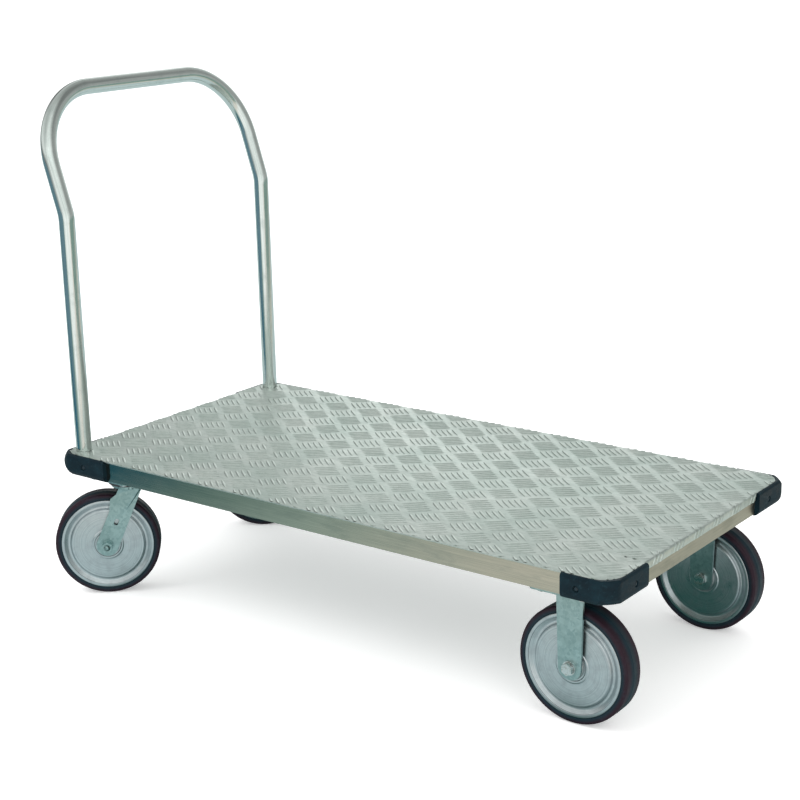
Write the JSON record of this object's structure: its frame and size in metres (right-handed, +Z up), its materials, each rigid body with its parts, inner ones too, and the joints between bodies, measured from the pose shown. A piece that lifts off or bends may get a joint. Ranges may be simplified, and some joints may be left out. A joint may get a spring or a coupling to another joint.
{
  "type": "flatbed platform truck",
  "caption": "Flatbed platform truck with an aluminium tread-plate deck, fixed tubular push handle, rubber corner bumpers, swivel rear casters and rigid front casters.",
  "frame": {"origin": "on the floor, under the middle of the truck's overall box at rest; the deck's centre is 26 mm ahead and 18 mm to the left of it", "axes": "+X towards the front, the end with the rigid casters; +Y to the left of a person pushing; +Z up"},
  "size_m": [1.2628, 0.6439, 0.9672],
  "materials": {
    "deck_aluminium": "rolled five-bar tread plate, satin",
    "rail_aluminium": "extruded channel, satin",
    "cast_aluminium": "sand-cast, dull",
    "handle_aluminium": "polished tube",
    "bumper_rubber": "moulded rubber, matt with a slight sheen",
    "zinc_steel": "pressed steel, bright zinc plated",
    "wheel_zinc": "pressed steel, zinc plated, satin",
    "hub_steel": "turned steel",
    "tyre_rubber": "solid dark rubber",
    "bearing_steel": "ground bearing steel, greased",
    "seal_plastic": "moulded dust seal",
    "fastener_steel": "zinc-plated hardware"
  },
  "bodies": {
    "chassis": {"bumper_rivets": "fastener_steel", "caster_beam_front": "rail_aluminium", "caster_beam_rear": "rail_aluminium", "caster_bolts": "fastener_steel", "deck_plate": "deck_aluminium", "deck_screws": "fastener_steel", "end_rail_front": "rail_aluminium", "end_rail_rear": "rail_aluminium", "floor_ribs": "rail_aluminium", "front_bumper_left": "bumper_rubber", "front_bumper_right": "bumper_rubber", "front_corner_left": "cast_aluminium", "front_corner_right": "cast_aluminium", "front_left_axle_bolt": "fastener_steel", "front_left_axle_sleeve": "bearing_steel", "front_left_bracket": "zinc_steel", "front_right_axle_bolt": "fastener_steel", "front_right_axle_sleeve": "bearing_steel", "front_right_bracket": "zinc_steel", "handle_bolts": "fastener_steel", "handle_tube": "handle_aluminium", "rear_bumper_left": "bumper_rubber", "rear_bumper_right": "bumper_rubber", "rear_corner_left": "cast_aluminium", "rear_corner_right": "cast_aluminium", "rear_left_kingpin": "fastener_steel", "rear_left_top_plate": "zinc_steel", "rear_right_kingpin": "fastener_steel", "rear_right_top_plate": "zinc_steel", "side_rail_left": "rail_aluminium", "side_rail_right": "rail_aluminium", "swivel_seals": "seal_plastic"},
    "rear_left_swivel_fork": {"rear_left_fork": "zinc_steel", "rear_left_race_balls": "bearing_steel", "rear_left_axle_bolt": "fastener_steel", "rear_left_axle_sleeve": "bearing_steel"},
    "rear_left_wheel": {"rear_left_rim": "wheel_zinc", "rear_left_discs": "wheel_zinc", "rear_left_hub": "hub_steel", "rear_left_rollers": "bearing_steel", "rear_left_tyre": "tyre_rubber"},
    "front_left_wheel": {"front_left_rim": "wheel_zinc", "front_left_discs": "wheel_zinc", "front_left_hub": "hub_steel", "front_left_rollers": "bearing_steel", "front_left_tyre": "tyre_rubber"},
    "rear_right_swivel_fork": {"rear_right_fork": "zinc_steel", "rear_right_race_balls": "bearing_steel", "rear_right_axle_bolt": "fastener_steel", "rear_right_axle_sleeve": "bearing_steel"},
    "rear_right_wheel": {"rear_right_rim": "wheel_zinc", "rear_right_discs": "wheel_zinc", "rear_right_hub": "hub_steel", "rear_right_rollers": "bearing_steel", "rear_right_tyre": "tyre_rubber"},
    "front_right_wheel": {"front_right_rim": "wheel_zinc", "front_right_discs": "wheel_zinc", "front_right_hub": "hub_steel", "front_right_rollers": "bearing_steel", "front_right_tyre": "tyre_rubber"}
  },
  "joints": [
    {"name": "rear_left_swivel", "type": "hinge", "parent": "chassis", "child": "rear_left_swivel_fork", "pos_m": [-0.474, 0.243, 0.225], "axis": [0, 0, 1], "continuous": true},
    {"name": "rear_left_wheel_spin", "type": "hinge", "parent": "rear_left_swivel_fork", "child": "rear_left_wheel", "pos_m": [-0.51258, 0.21445, 0.1], "axis": [0.5948, -0.8039, 0], "continuous": true},
    {"name": "rear_right_swivel", "type": "hinge", "parent": "chassis", "child": "rear_right_swivel_fork", "pos_m": [-0.474, -0.207, 0.225], "axis": [0, 0, 1], "continuous": true},
    {"name": "rear_right_wheel_spin", "type": "hinge", "parent": "rear_right_swivel_fork", "child": "rear_right_wheel", "pos_m": [-0.51001, -0.23874, 0.1], "axis": [0.6613, -0.7501, 0], "continuous": true},
    {"name": "front_left_wheel_spin", "type": "hinge", "parent": "chassis", "child": "front_left_wheel", "pos_m": [0.526, 0.243, 0.1], "axis": [0, 1, 0], "continuous": true},
    {"name": "front_right_wheel_spin", "type": "hinge", "parent": "chassis", "child": "front_right_wheel", "pos_m": [0.526, -0.207, 0.1], "axis": [0, 1, 0], "continuous": true}
  ]
}
